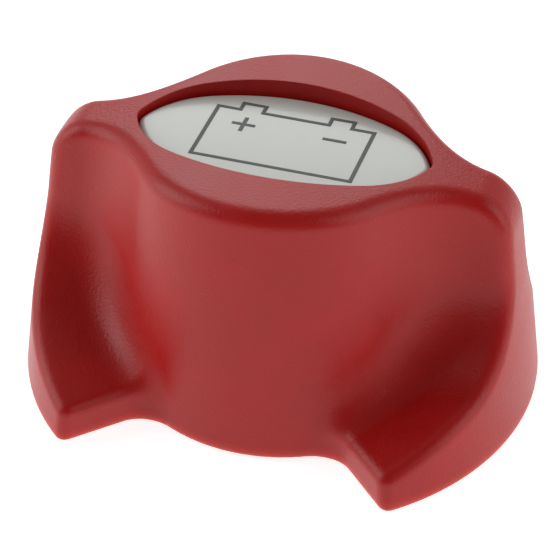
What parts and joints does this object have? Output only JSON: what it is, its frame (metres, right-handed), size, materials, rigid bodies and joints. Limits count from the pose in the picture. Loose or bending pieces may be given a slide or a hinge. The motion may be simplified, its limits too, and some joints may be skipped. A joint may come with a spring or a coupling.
{
  "type": "battery switch",
  "caption": "Panel-mounted battery switch: a lift-off wing knob turns a cam that presses a sprung contact bridge onto two threaded studs.",
  "frame": {"origin": "on the knob's axis, in the plane of the housing's front face, which bears on the back of the panel", "axes": "+Z out of the panel towards the hand, along the knob's axis; X along the knob's wings when the switch is off, and through both studs"},
  "size_m": [0.072, 0.072, 0.1058],
  "materials": {
    "knob_red": "fine moulded texture, satin",
    "legend_grey": "smooth satin",
    "legend_ink": "printed ink",
    "brass": "turned",
    "steel": "passivated stainless",
    "spring_steel": "oiled spring steel",
    "acetal": "natural acetal, smooth",
    "seal_rubber": "matt nitrile",
    "copper": "bright copper",
    "contact_silver": "silver contact alloy",
    "housing_black": "glass-filled nylon, fine texture"
  },
  "bodies": {
    "housing": {"housing_body": "housing_black", "panel_seal": "seal_rubber", "fixing_inserts": "brass", "rear_cover": "housing_black", "cover_gasket": "seal_rubber", "cover_screws": "steel", "return_spring": "spring_steel", "stud_seals": "seal_rubber", "left_stud": "copper", "right_stud": "copper", "left_washer": "steel", "right_washer": "steel", "left_spring_washer": "steel", "right_spring_washer": "steel", "left_nut": "steel", "right_nut": "steel"},
    "rotor": {"spindle": "brass", "cam_hub": "acetal", "cross_pin": "steel", "spindle_o_rings": "seal_rubber", "thrust_washer": "acetal", "neck_washer": "acetal", "spindle_clip": "spring_steel"},
    "carrier": {"contact_carrier": "acetal", "contact_bridge": "copper", "contact_tips": "contact_silver", "contact_spring": "spring_steel", "bridge_clip": "spring_steel"},
    "knob": {"knob_shell": "knob_red", "legend_plate": "legend_grey", "legend_symbol": "legend_ink", "drive_socket": "brass", "socket_screws": "steel", "snap_ring": "spring_steel"}
  },
  "joints": [
    {"name": "knob_turn", "type": "hinge", "parent": "housing", "child": "rotor", "pos_m": [0, 0, 0], "axis": [0, 0, -1], "range_deg": [0, 90]},
    {"name": "contact_press", "type": "slide", "parent": "housing", "child": "carrier", "axis": [0, 0, -1], "range_m": [0, 0.0035], "deforming": ["return_spring"]},
    {"name": "knob_lift", "type": "slide", "parent": "rotor", "child": "knob", "axis": [0, 0, 1], "range_m": [0, 0.016]}
  ],
  "couplings": [
    {"joint": "contact_press", "follows": "knob_turn", "m_per_rad": 0.0022282}
  ]
}
